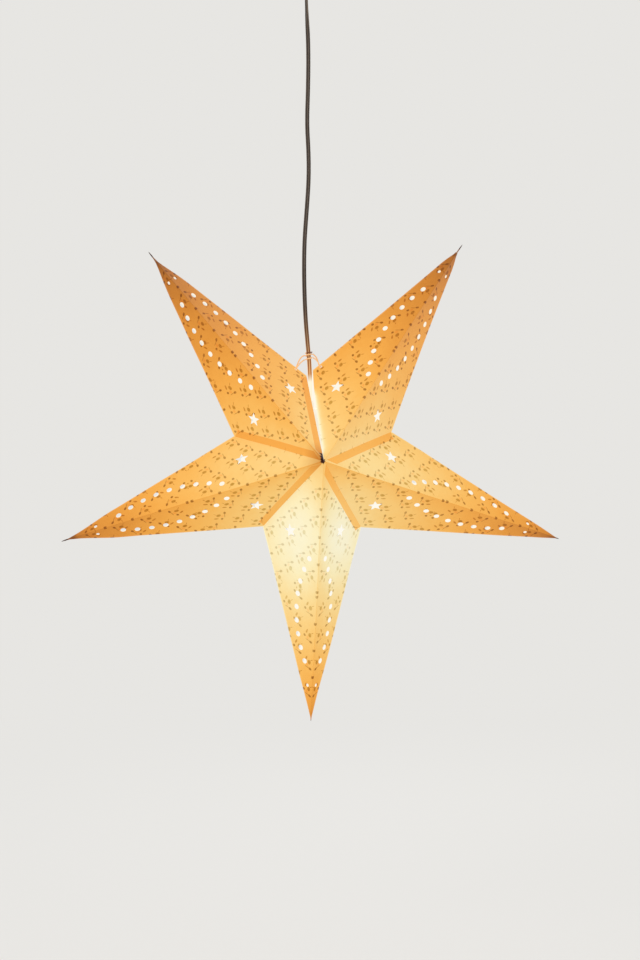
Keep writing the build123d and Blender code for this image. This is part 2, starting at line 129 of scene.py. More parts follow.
cameraSetup = {"azimuth": 7.03, "elevation": 1.07, "roll": -0.60, "distance": 2.184,
               "target": (0.0109, 0, -0.6457), "lens": 67.5, "sensor": 36.0}


def addCamera():
    azimuth, elevation, roll = (math.radians(cameraSetup[k]) for k in ("azimuth", "elevation", "roll"))
    look = Vector((math.sin(azimuth) * math.cos(elevation), math.cos(azimuth) * math.cos(elevation),
                   -math.sin(elevation)))
    right = look.cross(Vector((0, 0, 1))).normalized()
    up = right.cross(look)
    tiltedRight = right * math.cos(roll) + up * math.sin(roll)
    tiltedUp = up * math.cos(roll) - right * math.sin(roll)
    data = bpy.data.cameras.new("photoCamera")
    data.sensor_fit, data.sensor_height, data.lens = "VERTICAL", cameraSetup["sensor"], cameraSetup["lens"]
    camera = link("photoCamera", data)
    place = Vector(cameraSetup["target"]) - look * cameraSetup["distance"]
    turn = Matrix((tiltedRight, tiltedUp, -look)).transposed().to_4x4()
    camera.matrix_world = Matrix.Translation(place) @ turn
    scene.camera = camera


addCamera()
print("camera ready")

# Star geometry, the same as the solids

star = {"centre": -0.620, "tipRadius": 0.317, "valleyRadius": 0.102, "halfDepth": 0.090, "seamGap": 4.0,
        "paper": 0.0004, "foldGap": 0.0, "apexHole": 0.0001}


def rimPoint(step):
    angle = math.radians(90 - star["seamGap"] / 2 - step * (360 - star["seamGap"]) / 10)
    radius = star["tipRadius"] if step % 2 else star["valleyRadius"]
    return Vector((radius * math.cos(angle), 0, star["centre"] + radius * math.sin(angle)))


def apexPoint(front):
    return Vector((0, -star["halfDepth"] if front else star["halfDepth"], star["centre"]))


def facetCorners(number):
    before, after = rimPoint(number - 1), rimPoint(number)
    return (after, before) if number % 2 else (before, after)


def facetPlace(number, front):
    # from facet coordinates, X along the ridge, Y towards the valley and Z outwards
    tip, valley = facetCorners(number)
    apex = apexPoint(front)
    along = (tip - apex).normalized()
    out = along.cross(valley - apex).normalized()
    if out.dot(apex - Vector((0, 0, star["centre"]))) < 0:
        out = -out
    across = out.cross(along)
    if across.dot(valley - apex) < 0:
        across = -across
    place = Matrix((along, across, out)).transposed().to_4x4()
    place.translation = apex
    return place


def angleAcross(start, end, one, other):
    fold = (end - start).normalized()
    sides = [p - start - fold * (p - start).dot(fold) for p in (one, other)]
    return sides[0].angle(sides[1])


# how far the hanging star's corners are from the regular star's, millimetres to the right and up; 0 to 10 are
# the corners clockwise from the right of the seam
cornerShift = {"apex": (2.4, -0.7), 0: (-1.3, -1.5), 1: (-3.8, 9.0), 2: (1.9, 2.2), 3: (7.3, 0.0), 4: (1.2, -1.0),
               5: (-3.4, -1.8), 6: (0.2, 1.8), 7: (-1.0, 7.0), 8: (4.9, -0.8), 9: (0.3, -1.0), 10: (-0.8, -1.0)}
# how far the crumpled apex is pulled aside, and how the outer edge of a facet curls at its valley corner and in
# its middle, millimetres to the right and up
apexCurl = (2.2, -1.6)
edgeCurl = {1: {"corner": (1.3, 7.1), "middle": (0.0, 0.0)}, 2: {"corner": (0.0, 0.0), "middle": (-1.7, 0.6)}}
curlPower, edgePower = 1.6, 5  # how fast the curls fade along an edge, and inwards from it


def moved(shift):
    right, up = shift
    return Vector((right, 0, up)) * mm


def paperPoint(number, front, spot):
    # from facet coordinates to the paper's place on the hanging star
    tip, valley = (number, number - 1) if number % 2 else (number - 1, number)
    toValley = spot[1] / valleyOut
    toTip = (spot[0] - toValley * valleyAlong) / ridgeLength
    shift = Vector((0, 0, 0))
    for corner, share in (("apex", 1 - toTip - toValley), (tip, toTip), (valley, toValley)):
        shift += moved(cornerShift[corner]) * share
    outward = toTip + toValley
    shift += moved(apexCurl) * max(0, 1 - outward) ** curlPower
    if number in edgeCurl and outward > 0:
        along = min(1, max(0, toTip / outward))
        corner, middle = (moved(edgeCurl[number][k]) for k in ("corner", "middle"))
        shift += (corner * (1 - along) ** curlPower + middle * 4 * along * (1 - along)) * outward ** edgePower
    return facetPlace(number, front) @ Vector(spot) + shift


ridgeLength = (rimPoint(1) - apexPoint(True)).length
valleyLength = (rimPoint(0) - apexPoint(True)).length
edgeLength = (rimPoint(1) - rimPoint(0)).length
valleyAlong = (ridgeLength ** 2 + valleyLength ** 2 - edgeLength ** 2) / (2 * ridgeLength)
valleyOut = math.sqrt(valleyLength ** 2 - valleyAlong ** 2)
valleyCosine, valleySine = valleyAlong / valleyLength, valleyOut / valleyLength
outerEdge = Vector((ridgeLength - valleyAlong, -valleyOut)).normalized()
ridgeAngle = angleAcross(apexPoint(True), rimPoint(1), rimPoint(0), rimPoint(2))
outerAngle = angleAcross(rimPoint(0), rimPoint(1), apexPoint(True), apexPoint(False))
openRidge = math.radians(19)  # how far the ridges close when the star is opened


def meetingPoint(one, other):
    # where two lines meet, each a point and a direction in the facet's plane
    (a, d), (b, e) = one, other
    share = ((b - a).x * e.y - (b - a).y * e.x) / (d.x * e.y - d.y * e.x)
    return a + d * share


def insetEdges(ridgeInset, outerInset, valleyInset):
    # corners of the facet with each edge drawn in: apex end of the ridge, tip, valley, apex end of the valley
    apex, tip = Vector((0, 0)), Vector((ridgeLength, 0))
    valley = Vector((valleyAlong, valleyOut))
    edges = []
    for start, end, inset in ((apex, tip, ridgeInset), (tip, valley, outerInset), (valley, apex, valleyInset)):
        along = (end - start).normalized()
        edges.append((start + Vector((-along.y, along.x)) * inset, along))
    nearApex = meetingPoint(edges[2], edges[0])
    return [nearApex + edges[0][1] * star["apexHole"], meetingPoint(edges[0], edges[1]),
            meetingPoint(edges[1], edges[2]), nearApex - edges[2][1] * star["apexHole"]]


# Geometry Nodes for a panel of paper: a four-cornered sheet with its punched holes

punch = {"holeCount": 9, "holeRadius": 0.0033, "holePitch": 0.017, "arcRadius": 0.140, "arcMiddle": 0.190,
         "arcCrown": 0.030, "smallRadius": 0.002, "smallPlace": (0.285, 0.0077, 0), "starRadius": 0.0087,
         "starInner": 0.0038, "starPlace": (0.0975, 0.044, 0), "holeSides": 24, "smallSides": 20, "depth": 0.004}
finer = {"tip": 1.5, "ridge": 1.7}  # how much finer the sheet's grid gets towards the tip and the ridge
cornerNames = ("Apex Ridge", "Tip", "Valley", "Apex Valley")


def patch(tree, corners, where):
    # a point of a four-cornered patch from its two shares
    along, across, _ = split(tree, where)
    ridge = blendVectors(tree, corners[0], corners[1], along)
    valley = blendVectors(tree, corners[3], corners[2], along)
    return blendVectors(tree, ridge, valley, across)


def slab(tree, lower, upper, alongCount, acrossCount, thickness, outside, inside):
    # a closed sheet between two patches, finest beside the tip; the outside material is on the upper one
    grid = addNode(tree, "GeometryNodeMeshGrid",
                   {"Size X": 1.0, "Size Y": 1.0, "Vertices X": alongCount, "Vertices Y": acrossCount})
    position = addNode(tree, "GeometryNodeInputPosition").outputs[0]
    even = split(tree, vectorCalc(tree, "ADD", position, (0.5, 0.5, 0.0)))
    fromRim = calc(tree, "POWER", minus(tree, 1.0, even[0], clamp=True), finer["tip"])
    fromRidge = calc(tree, "POWER", calc(tree, "MAXIMUM", even[1], 0.0), finer["ridge"])
    stored = addNode(tree, "GeometryNodeStoreNamedAttribute", {"Geometry": grid.outputs[0], "Name": "share"},
                     data_type="FLOAT_VECTOR", domain="POINT")
    feed(tree, stored, {"Value": combine(tree, minus(tree, 1.0, fromRim), fromRidge)})
    where = addNode(tree, "GeometryNodeInputNamedAttribute", {"Name": "share"}, data_type="FLOAT_VECTOR").outputs[0]
    under = addNode(tree, "GeometryNodeSetPosition", {"Geometry": stored.outputs[0],
                                                      "Position": patch(tree, lower, where)})
    raised = addNode(tree, "GeometryNodeExtrudeMesh", {"Mesh": under.outputs[0], "Offset": combine(tree, z=thickness),
                                                       "Individual": False}, mode="FACES")
    top = raised.outputs["Top"]
    shaped = addNode(tree, "GeometryNodeSetPosition", {"Geometry": raised.outputs[0], "Selection": top,
                                                       "Position": patch(tree, upper, where)})
    plain = addNode(tree, "GeometryNodeSetMaterial", {"Geometry": shaped.outputs[0], "Material": inside})
    faced = addNode(tree, "GeometryNodeSetMaterial",
                    {"Geometry": plain.outputs[0], "Selection": top, "Material": outside})
    turned = addNode(tree, "GeometryNodeFlipFaces", {0: under.outputs[0]})
    backed = addNode(tree, "GeometryNodeSetMaterial", {"Geometry": turned.outputs[0], "Material": inside})
    joined = addNode(tree, "GeometryNodeJoinGeometry", {0: faced.outputs[0]})
    tree.links.new(backed.outputs[0], joined.inputs[0])
    return addNode(tree, "GeometryNodeMergeByDistance", {0: joined.outputs[0], "Distance": 1e-6}).outputs[0]


def addSocket(tree, label, kind, value=None):
    socket = tree.interface.new_socket(label, in_out="INPUT", socket_type=kind)
    if value is not None:
        socket.default_value = value


def cylinder(tree, radius, sides):
    return addNode(tree, "GeometryNodeMeshCylinder", {"Vertices": sides, "Radius": radius, "Depth": punch["depth"]},
                   fill_type="NGON").outputs[0]


def cylinderAt(tree, radius, place):
    shape = cylinder(tree, radius, punch["smallSides"])
    return addNode(tree, "GeometryNodeTransform", {"Geometry": shape, "Translation": place}).outputs[0]


def without(tree, whole, cut):
    holed = addNode(tree, "GeometryNodeMeshBoolean", operation="DIFFERENCE", solver="EXACT")
    return feed(tree, holed, {"Mesh 1": whole, "Mesh 2": cut}).outputs[0]


def chosen(tree, switch, no, yes):
    return addNode(tree, "GeometryNodeSwitch", {"Switch": switch, "False": no, "True": yes},
                   input_type="GEOMETRY").outputs[0]


def buildPanelTree():
    tree = bpy.data.node_groups.new("paperPanel", "GeometryNodeTree")
    for side in ("Outer", "Inner"):
        for name in cornerNames:
            addSocket(tree, f"{side} {name}", "NodeSocketVector")
    for name in cornerNames:
        addSocket(tree, f"Tab {name}", "NodeSocketVector")
    for label, kind, value in (
            ("Along Count", "Int", 40), ("Across Count", "Int", 20), ("Thickness", "Float", star["paper"]),
            ("Punched", "Bool", True), ("Cut Tab", "Bool", False),
            ("Hole Radius", "Float", punch["holeRadius"]), ("Hole Pitch", "Float", punch["holePitch"]),
            ("Arc Radius", "Float", punch["arcRadius"]), ("Arc Middle", "Float", punch["arcMiddle"]),
            ("Arc Crown", "Float", punch["arcCrown"]), ("Small Radius", "Float", punch["smallRadius"]),
            ("Star Radius", "Float", punch["starRadius"]), ("Star Inner", "Float", punch["starInner"]),
            ("Hole Count", "Int", punch["holeCount"]), ("Small Place", "Vector", punch["smallPlace"]),
            ("Star Place", "Vector", punch["starPlace"]),
            ("Star Turn", "Float", math.atan2(valleyOut, valleyAlong) / 2),
            # a facet with no eyelet has it off the paper
            ("Eyelet Radius", "Float", 0.001), ("Eyelet Place", "Vector", (-0.1, -0.1, 0)),
            ("Outside", "Material", None), ("Inside", "Material", None)):
        addSocket(tree, label, "NodeSocket" + kind, value)
    tree.interface.new_socket("Geometry", in_out="OUTPUT", socket_type="NodeSocketGeometry")
    given = addNode(tree, "NodeGroupInput").outputs
    outer = [given[f"Outer {name}"] for name in cornerNames]
    inner = [given[f"Inner {name}"] for name in cornerNames]
    sheet = slab(tree, inner, outer, given["Along Count"], given["Across Count"], given["Thickness"],
                 given["Outside"], given["Inside"])

    # round holes on an arc
    points = addNode(tree, "GeometryNodePoints", {"Count": given["Hole Count"]})
    index = addNode(tree, "GeometryNodeInputIndex").outputs[0]
    middle = times(tree, minus(tree, given["Hole Count"], 1.0), 0.5)
    step = over(tree, given["Hole Pitch"], given["Arc Radius"])
    turn = times(tree, minus(tree, index, middle), step)
    along = plus(tree, given["Arc Middle"], times(tree, given["Arc Radius"], calc(tree, "SINE", turn)))
    drop = times(tree, given["Arc Radius"], minus(tree, 1.0, calc(tree, "COSINE", turn)))
    spot = combine(tree, along, minus(tree, given["Arc Crown"], drop))
    placed = addNode(tree, "GeometryNodeSetPosition", {"Geometry": points.outputs[0], "Position": spot})
    drill = cylinder(tree, given["Hole Radius"], punch["holeSides"])
    drills = addNode(tree, "GeometryNodeInstanceOnPoints", {"Points": placed.outputs[0], "Instance": drill})
    roundCuts = addNode(tree, "GeometryNodeRealizeInstances", {0: drills.outputs[0]}).outputs[0]

    # star-shaped hole: every other corner of a ten-sided cutter is drawn in
    cutter = cylinder(tree, given["Star Radius"], 10)
    odd = calc(tree, "MODULO", addNode(tree, "GeometryNodeInputIndex").outputs[0], 2.0)
    ratio = over(tree, given["Star Inner"], given["Star Radius"])
    position = addNode(tree, "GeometryNodeInputPosition").outputs[0]
    drawnIn = addNode(tree, "GeometryNodeSetPosition", {
        "Geometry": cutter, "Selection": calc(tree, "GREATER_THAN", odd, 0.5),
        "Position": vectorCalc(tree, "MULTIPLY", position, combine(tree, ratio, ratio, 1.0))})
    starCut = addNode(tree, "GeometryNodeTransform", {"Geometry": drawnIn.outputs[0],
                                                      "Translation": given["Star Place"],
                                                      "Rotation": combine(tree, z=given["Star Turn"])}).outputs[0]

    cutters = addNode(tree, "GeometryNodeJoinGeometry", {0: roundCuts})
    for shape in (starCut, cylinderAt(tree, given["Small Radius"], given["Small Place"]),
                  cylinderAt(tree, given["Eyelet Radius"], given["Eyelet Place"])):
        tree.links.new(shape, cutters.inputs[0])
    walls = addNode(tree, "GeometryNodeSetMaterial", {"Geometry": cutters.outputs[0], "Material": given["Inside"]})
    punched = chosen(tree, given["Punched"], sheet, without(tree, sheet, walls.outputs[0]))

    # the sheet stops where the free tab begins
    tab = [given[f"Tab {name}"] for name in cornerNames]
    low, high = ([vectorCalc(tree, "ADD", corner, (0, 0, side * punch["depth"] / 2)) for corner in tab]
                 for side in (-1, 1))
    strip = slab(tree, low, high, 2, 2, punch["depth"], given["Inside"], given["Inside"])
    trimmed = chosen(tree, given["Cut Tab"], punched, without(tree, punched, strip))
    whole = addNode(tree, "GeometryNodeRealizeInstances", {0: trimmed})
    # the print follows the facet's own coordinates
    where = addNode(tree, "GeometryNodeInputPosition").outputs[0]
    mapped = addNode(tree, "GeometryNodeStoreNamedAttribute", {"Geometry": whole.outputs[0], "Name": "UVMap"},
                     data_type="FLOAT2", domain="CORNER")
    tree.links.new(where, mapped.inputs["Value"])
    tree.links.new(mapped.outputs[0], addNode(tree, "NodeGroupOutput").inputs[0])
    return tree


def geometryMesh(tree, name, values):
    holder = link(name + "Maker", bpy.data.meshes.new(name))
    modifier = holder.modifiers.new("shape", "NODES")
    modifier.node_group = tree
    for socket in tree.interface.items_tree:
        if socket.in_out == "INPUT" and socket.name in values:
            modifier[socket.identifier] = values[socket.name]
    return evaluatedMesh(holder)


# Materials


def screen(red, green, blue):
    # a colour as a screen shows it, 0 to 255, made linear
    return tuple(((c / 255 + 0.055) / 1.055) ** 2.4 for c in (red, green, blue))


# the light of the bulb painted on the paper as a glow: how far down the ramp of stops each effect moves it; lengths
# in millimetres
glow = {"source": (0.012, -0.010, -0.707), "start": 0.063, "perMetre": 3.17, "perSquare": -1.98, "facing": -0.14,
        "ridge": 0.045, "ridgeWidth": 30.0, "seam": -0.50, "seamWidth": 2.7, "seamTop": 112.0, "seamApex": 8.0,
        "seamFade": 12.0, "edge": -0.07, "crease": 0.07, "wrinkle": 0.30, "wrinkleLength": 22.0, "end": 0.12,
        "endLength": 45.0, "dim": 0.035, "dimLength": 12.0, "baseShare": 0.405, "emission": 0.577, "most": 1.10,
        "cloud": 0.11, "cloudScale": 14.0, "fine": 0.06, "fineScale": 150.0, "foldReach": 1.5,
        "edgeFrom": 1.2, "edgeFall": 0.8, "creaseFrom": 1.2, "creaseFall": 1.6,
        "stops": ((0.00, (253, 247, 215)), (0.12, (253, 240, 192)), (0.25, (253, 222, 152)),
                  (0.38, (253, 205, 120)), (0.50, (251, 188, 92)), (0.62, (246, 172, 72)),
                  (0.74, (232, 154, 58)), (0.86, (212, 134, 46)), (0.96, (185, 113, 40)), (1.08, (140, 80, 24)))}


def newMaterial(name):
    material = bpy.data.materials.new(name)
    material.use_nodes = True
    tree = material.node_tree
    return material, tree, tree.nodes["Principled BSDF"]


def objectPlace(tree):
    return addNode(tree, "ShaderNodeTexCoord").outputs["Object"]


def noiseAt(tree, place, scale, detail):
    return addNode(tree, "ShaderNodeTexNoise", {"Vector": place, "Scale": scale, "Detail": detail}).outputs


def bumped(tree, height, strength, depth):
    return addNode(tree, "ShaderNodeBump", {"Height": height, "Strength": strength, "Distance": depth}).outputs[0]


def mixColour(tree, share, one, other, blend="MIX"):
    item = addNode(tree, "ShaderNodeMix", {0: share, 6: one, 7: other}, data_type="RGBA", blend_type=blend)
    return item.outputs[2]


def tinted(tree, colour, share, tint):
    # a colour multiplied by a tint where the share is 1
    return mixColour(tree, share, colour, mixColour(tree, 1.0, colour, (*tint, 1), "MULTIPLY"))


def facetCoordinates(tree):
    # the facet's own coordinates in millimetres, and what lies beside its three edges
    flat = addNode(tree, "ShaderNodeUVMap", uv_map="UVMap").outputs[0]
    x, y, _ = split(tree, scaled(tree, flat, 1 / mm))
    fromValley = minus(tree, times(tree, x, valleySine), times(tree, y, valleyCosine))
    beyond = minus(tree, ridgeLength / mm, x)
    fromEdge = minus(tree, times(tree, beyond, -outerEdge.y), times(tree, y, outerEdge.x))
    return x, y, fromValley, fromEdge


def facetAttribute(tree, name):
    return split(tree, addNode(tree, "ShaderNodeAttribute", attribute_name=name).outputs["Vector"])


def glowLevel(tree, x, y, fromValley, fromEdge):
    # how far down the glow ramp the paper is: 0 is brightest
    where = addNode(tree, "ShaderNodeTexCoord").outputs
    place, normal = where["Object"], where["Normal"]
    ray = vectorCalc(tree, "SUBTRACT", place, glow["source"])
    away = addNode(tree, "ShaderNodeVectorMath", {0: ray}, operation="LENGTH").outputs[1]
    facing = addNode(tree, "ShaderNodeVectorMath", {0: ray, 1: normal}, operation="DOT_PRODUCT").outputs[1]
    facing = over(tree, facing, away)
    shade, seam, crumple = facetAttribute(tree, "paint")
    spike = facetAttribute(tree, "ends")[0]
    cloud, fine = noiseAt(tree, place, glow["cloudScale"], 3.0)[0], noiseAt(tree, place, glow["fineScale"], 4.0)[0]
    # painted shade along the ridge beside the crumpled apex
    fold = timesPlus(tree, y, -1.0, glow["foldReach"], clamp=True)
    wrinkle = calc(tree, "EXPONENT", over(tree, x, -glow["wrinkleLength"]))
    wrinkle = times(tree, times(tree, fold, wrinkle), crumple)
    end = timesPlus(tree, x, 1 / glow["endLength"], 1 - ridgeLength / mm / glow["endLength"], clamp=True)
    dim = plus(tree, minus(tree, x, ridgeLength / mm - glow["dimLength"]), spike)
    dim = times(tree, over(tree, dim, glow["dimLength"], clamp=True), spike)
    beside = over(tree, calc(tree, "ABSOLUTE", fromValley), -glow["seamWidth"])
    upSeam = plus(tree, times(tree, x, valleyCosine), times(tree, y, valleySine))
    for limit in (minus(tree, glow["seamTop"], upSeam), minus(tree, upSeam, glow["seamApex"])):
        seam = times(tree, seam, over(tree, limit, glow["seamFade"], clamp=True))
    # painted light and shade: darker further from the bulb, lighter where the paper faces it, beside the seam and at
    # the cut edge, and painted shade along the ridge, in its crease, beside the crumpled apex and towards each tip
    effects = {"perMetre": away, "perSquare": times(tree, away, away), "facing": facing,
               "ridge": timesPlus(tree, y, -1 / glow["ridgeWidth"], 1.0, clamp=True),
               "seam": times(tree, calc(tree, "EXPONENT", beside), seam),
               "edge": timesPlus(tree, fromEdge, -glow["edgeFall"], glow["edgeFrom"], clamp=True),
               "crease": timesPlus(tree, y, -glow["creaseFall"], glow["creaseFrom"], clamp=True), "wrinkle": wrinkle,
               "end": end, "dim": dim}
    level = glow["start"]
    for name, effect in effects.items():
        level = plus(tree, level, times(tree, effect, glow[name]))
    for name, patches in (("cloud", cloud), ("fine", fine)):
        level = plus(tree, level, timesPlus(tree, patches, glow[name], -glow[name] / 2))
    return plus(tree, level, shade), place


def glowColour(tree, level):
    ramp = addNode(tree, "ShaderNodeValToRGB", {0: over(tree, level, glow["most"])})
    stops = ramp.color_ramp.elements
    for at, colour in glow["stops"][2:]:
        stops.new(at / glow["most"])
    for stop, (at, colour) in zip(stops, glow["stops"]):
        stop.position, stop.color = at / glow["most"], (*screen(*colour), 1)
    return ramp.outputs[0]


def paperFinish(tree, shader, colour, place):
    # the glow colour is both the base colour and an emission: the bulb's light through the paper, painted on
    share = glow["baseShare"]
    base = mixColour(tree, 1.0, colour, (share, share, share, 1), "MULTIPLY")
    feed(tree, shader, {"Base Color": base, "Emission Color": colour, "Emission Strength": glow["emission"],
                        "Roughness": 0.82, "Specular IOR Level": 0.25,
                        "Normal": bumped(tree, noiseAt(tree, place, 900.0, 3.0)[0], 0.25, 0.0002)})


inkEdge = {"reach": 1.22, "fall": 2.4}  # how far past its size a mark's ink goes, and how fast it fades there


def buildMarkGroup():
    # one soft-edged oval of ink; sizes in millimetres
    tree = bpy.data.node_groups.new("inkMark", "ShaderNodeTree")
    for label in ("X", "Y", "Centre X", "Centre Y", "Half Length", "Half Width", "Turn"):
        tree.interface.new_socket(label, in_out="INPUT", socket_type="NodeSocketFloat")
    tree.interface.new_socket("Mark", in_out="OUTPUT", socket_type="NodeSocketFloat")
    given = addNode(tree, "NodeGroupInput").outputs
    x = minus(tree, given["X"], given["Centre X"])
    y = minus(tree, given["Y"], given["Centre Y"])
    cosine, sine = calc(tree, "COSINE", given["Turn"]), calc(tree, "SINE", given["Turn"])
    along = plus(tree, times(tree, x, cosine), times(tree, y, sine))
    across = minus(tree, times(tree, y, cosine), times(tree, x, sine))
    along = over(tree, along, given["Half Length"])
    across = over(tree, across, given["Half Width"])
    reach = calc(tree, "SQRT", plus(tree, times(tree, along, along), times(tree, across, across)))
    mark = times(tree, minus(tree, inkEdge["reach"], reach), inkEdge["fall"], clamp=True)
    tree.links.new(mark, addNode(tree, "NodeGroupOutput").inputs[0])
    return tree


markGroup = buildMarkGroup()


def mark(tree, x, y, centreX, centreY, halfLength, halfWidth, turn):
    values = (x, y, centreX, centreY, halfLength, halfWidth, math.radians(turn))
    return addNode(tree, "ShaderNodeGroup", enumerate(values), node_tree=markGroup).outputs[0]


# the print is one sprig on a slanted lattice, mirrored halfway along the facet; millimetres
sprig = {"mirror": 166.2, "first": (42.5, 8.1), "step": (34.6, 1.1), "row": (16.3, 16.8), "middle": (-0.5, 2.5),
         "ridgeFirst": 59.5, "ridgeFrom": 50.0, "ridgeDot": (0.0, 0.3, 2.3, 1.5, 60), "from": 16.0, "wobble": 0.9,
         "wobbleScale": 260.0, "worn": 0.9, "wornLeast": 0.42, "wornScale": 420.0, "stemShare": 0.7, "inkLeast": 0.34,
         "inkByLevel": 1.1, "inkMost": 0.95, "bud": (0, 0, 2.7, 2.2, 0), "leaf": (-8.3, -1.8, 2.3, 1.45, 72),
         "stem": (-6.7, 3.0, 3.6, 0.5, 76), "seed": (-1.6, 8.0, 1.75, 1.5, 60), "petal": (4.5, 4.8, 2.7, 1.15, -25),
         "stroke": (3.4, -3.6, 2.1, 0.4, -58), "blush": (-3.6, 3.4, 2.2, 1.5, 30), "budInk": (0.50, 0.38, 0.04),
         "leafInk": (0.34, 0.22, 0.02), "petalInk": (0.56, 0.38, 0.06), "blushInk": (1.0, 0.80, 0.66)}
sprigMarks = ("bud", "leaf", "stem", "seed", "petal", "stroke", "blush")


def printed(tree, colour, level, x, y, place, most):
    # the colour with the print on it; most is the share of the ink that shows
    shift = split(tree, noiseAt(tree, place, sprig["wobbleScale"], 1.0)["Color"])
    x = plus(tree, x, timesPlus(tree, shift[0], sprig["wobble"], -sprig["wobble"] / 2))
    y = plus(tree, y, timesPlus(tree, shift[1], sprig["wobble"], -sprig["wobble"] / 2))
    fromMirror = calc(tree, "ABSOLUTE", minus(tree, x, sprig["mirror"]))
    folded = minus(tree, sprig["mirror"], fromMirror)
    (stepX, stepY), (rowX, rowY) = sprig["step"], sprig["row"]
    area = stepX * rowY - stepY * rowX
    px = minus(tree, folded, sprig["first"][0])
    py = minus(tree, y, sprig["first"][1])
    column = timesPlus(tree, py, -rowX / area, times(tree, px, rowY / area))
    row = timesPlus(tree, px, -stepY / area, times(tree, py, stepX / area))
    column, row = calc(tree, "ROUND", column), calc(tree, "ROUND", row)
    sx = timesPlus(tree, row, -rowX, timesPlus(tree, column, -stepX, px))
    sy = timesPlus(tree, row, -rowY, timesPlus(tree, column, -stepY, py))
    sx = plus(tree, sx, sprig["middle"][0])
    sy = plus(tree, sy, sprig["middle"][1])
    shown = times(tree, calc(tree, "GREATER_THAN", row, -0.5), calc(tree, "GREATER_THAN", folded, sprig["from"]))
    ridgeX = calc(tree, "PINGPONG", minus(tree, folded, sprig["ridgeFirst"]), stepX / 2)
    ridgeDot = times(tree, mark(tree, ridgeX, y, *sprig["ridgeDot"]),
                     calc(tree, "GREATER_THAN", folded, sprig["ridgeFrom"]))
    parts = {name: mark(tree, sx, sy, *sprig[name]) for name in sprigMarks}
    dark = calc(tree, "MAXIMUM", parts["leaf"], times(tree, parts["stem"], sprig["stemShare"]))
    dark = times(tree, calc(tree, "MAXIMUM", dark, parts["seed"]), shown)
    dark = calc(tree, "MAXIMUM", dark, ridgeDot)
    pale = times(tree, calc(tree, "MAXIMUM", parts["petal"], parts["stroke"]), shown)
    patchy = noiseAt(tree, place, sprig["wornScale"], 2.0)[0]
    patchy = timesPlus(tree, patchy, sprig["worn"], sprig["wornLeast"], clamp=True)
    strength = timesPlus(tree, level, sprig["inkByLevel"], sprig["inkLeast"])
    strength = times(tree, calc(tree, "MINIMUM", strength, sprig["inkMost"]), times(tree, patchy, most))
    for ink, share in (("blushInk", times(tree, parts["blush"], shown)), ("petalInk", pale),
                       ("budInk", times(tree, parts["bud"], shown)), ("leafInk", dark)):
        colour = tinted(tree, colour, times(tree, share, strength), sprig[ink])
    return colour


# brown painted shade at the crumpled apex and the glued end of each point, and the paler cut edge; millimetres
ends = {"apexSoft": 1.6, "apexShade": (0.05, 0.010, 0.002), "shadow": 30.0, "shadowTint": (0.50, 0.26, 0.03),
        "shadowPower": 1.3, "tipShade": (0.20, 0.12, 0.07), "edgeFrom": 1.9, "edgeFall": 1.2, "edgePale": 0.8,
        "blush": (0.015, 0.050, 0.070, 1)}


def darkEnds(tree, colour, x, y, fromEdge):
    # painted shade: brown spreading from the crumpled apex, a dark core at the apex and a dark end at each point's
    # spike; the cut edge and some facets are paler and pinker
    crumple = facetAttribute(tree, "paint")[2]
    spike, blush, reach = facetAttribute(tree, "ends")
    out = calc(tree, "SQRT", plus(tree, times(tree, x, x), times(tree, y, y)))
    near = over(tree, minus(tree, ends["shadow"], out), ends["shadow"], clamp=True)
    near = times(tree, calc(tree, "POWER", near, ends["shadowPower"]), crumple)
    colour = tinted(tree, colour, near, ends["shadowTint"])
    core = over(tree, minus(tree, reach, out), ends["apexSoft"], clamp=True)
    colour = tinted(tree, colour, core, ends["apexShade"])
    edge = times(tree, minus(tree, ends["edgeFrom"], fromEdge), ends["edgeFall"], clamp=True)
    blush = plus(tree, blush, times(tree, edge, ends["edgePale"]), clamp=True)
    colour = mixColour(tree, blush, colour, ends["blush"], "ADD")
    tip = minus(tree, plus(tree, x, spike), ridgeLength / mm, clamp=True)
    return tinted(tree, colour, tip, ends["tipShade"])


def printedPaper():
    material, tree, shader = newMaterial("printedPaper")
    x, y, fromValley, fromEdge = facetCoordinates(tree)
    level, place = glowLevel(tree, x, y, fromValley, fromEdge)
    colour = printed(tree, glowColour(tree, level), level, x, y, place, 1.0)
    paperFinish(tree, shader, darkEnds(tree, colour, x, y, fromEdge), place)
    return material


# two layers of paper let less of the bulb's light through, so painted shade makes them darker and even, and the lower
# one's print shows faintly, more towards the valley
doubled = {"byLevel": 0.50, "least": 0.335, "tint": (1.0, 0.93, 0.86), "printFrom": 20.0, "printOver": 80.0}


def plainPaper():
    material, tree, shader = newMaterial("plainPaper")
    x, y, fromValley, fromEdge = facetCoordinates(tree)
    level, place = glowLevel(tree, x, y, fromValley, fromEdge)
    level = timesPlus(tree, level, doubled["byLevel"], doubled["least"])
    colour = tinted(tree, glowColour(tree, level), 1.0, doubled["tint"])
    showing = timesPlus(tree, x, 1 / doubled["printOver"], -doubled["printFrom"] / doubled["printOver"], clamp=True)
    colour = printed(tree, colour, level, x, y, place, showing)
    paperFinish(tree, shader, darkEnds(tree, colour, x, y, fromEdge), place)
    return material


# the bulb's light painted on the inside of the paper as a glow, whiter near the bulb and warmer further off
inner = {"near": (1.0, 0.98, 0.90, 1), "far": (1.0, 0.90, 0.72, 1), "reach": 0.40, "emission": 0.92}


def distanceFrom(tree, place, centre):
    return addNode(tree, "ShaderNodeVectorMath", {0: place, 1: centre}, operation="DISTANCE").outputs[1]


